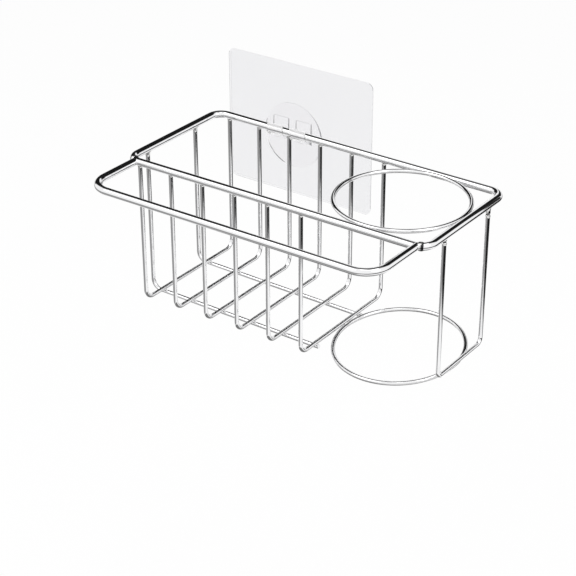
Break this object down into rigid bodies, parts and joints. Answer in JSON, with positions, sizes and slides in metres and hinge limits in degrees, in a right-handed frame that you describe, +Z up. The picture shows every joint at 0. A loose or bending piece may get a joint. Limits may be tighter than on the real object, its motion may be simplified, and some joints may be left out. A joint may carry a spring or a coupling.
{
  "type": "wall-hung wire sponge holder",
  "caption": "Bright bent-wire sink basket with a sponge tray, a ringed tool bay and a front hanging rail, hung on a clear adhesive two-prong wall hook.",
  "frame": {"origin": "on the wall face behind the middle of the hook's two prongs, level with the rim wire's centre", "axes": "+X along the wall to the right seen from the front, +Y into the wall, +Z up"},
  "size_m": [0.2045, 0.1341, 0.1379],
  "materials": {
    "bright_wire": "bright polished stainless steel wire",
    "clear_film": "clear, faintly grey film",
    "clear_hook": "clear glossy moulding",
    "clear_gel": "clear soft gel"
  },
  "bodies": {
    "wall_mount": {"adhesive_layer": "clear_gel", "wall_film": "clear_film", "wall_hook": "clear_hook"},
    "basket": {"rim_wire": "bright_wire", "hanging_rail": "bright_wire", "upper_tool_ring": "bright_wire", "lower_tool_ring": "bright_wire", "right_side_frame": "bright_wire", "front_floor_runner": "bright_wire", "back_floor_runner": "bright_wire", "tray_rib_1": "bright_wire", "tray_rib_2": "bright_wire", "tray_rib_3": "bright_wire", "tray_rib_4": "bright_wire", "tray_rib_5": "bright_wire", "tray_rib_6": "bright_wire"}
  },
  "joints": [
    {"name": "lift_off", "type": "slide", "parent": "wall_mount", "child": "basket", "axis": [0, 0, 1], "range_m": [0, 0.03]}
  ]
}
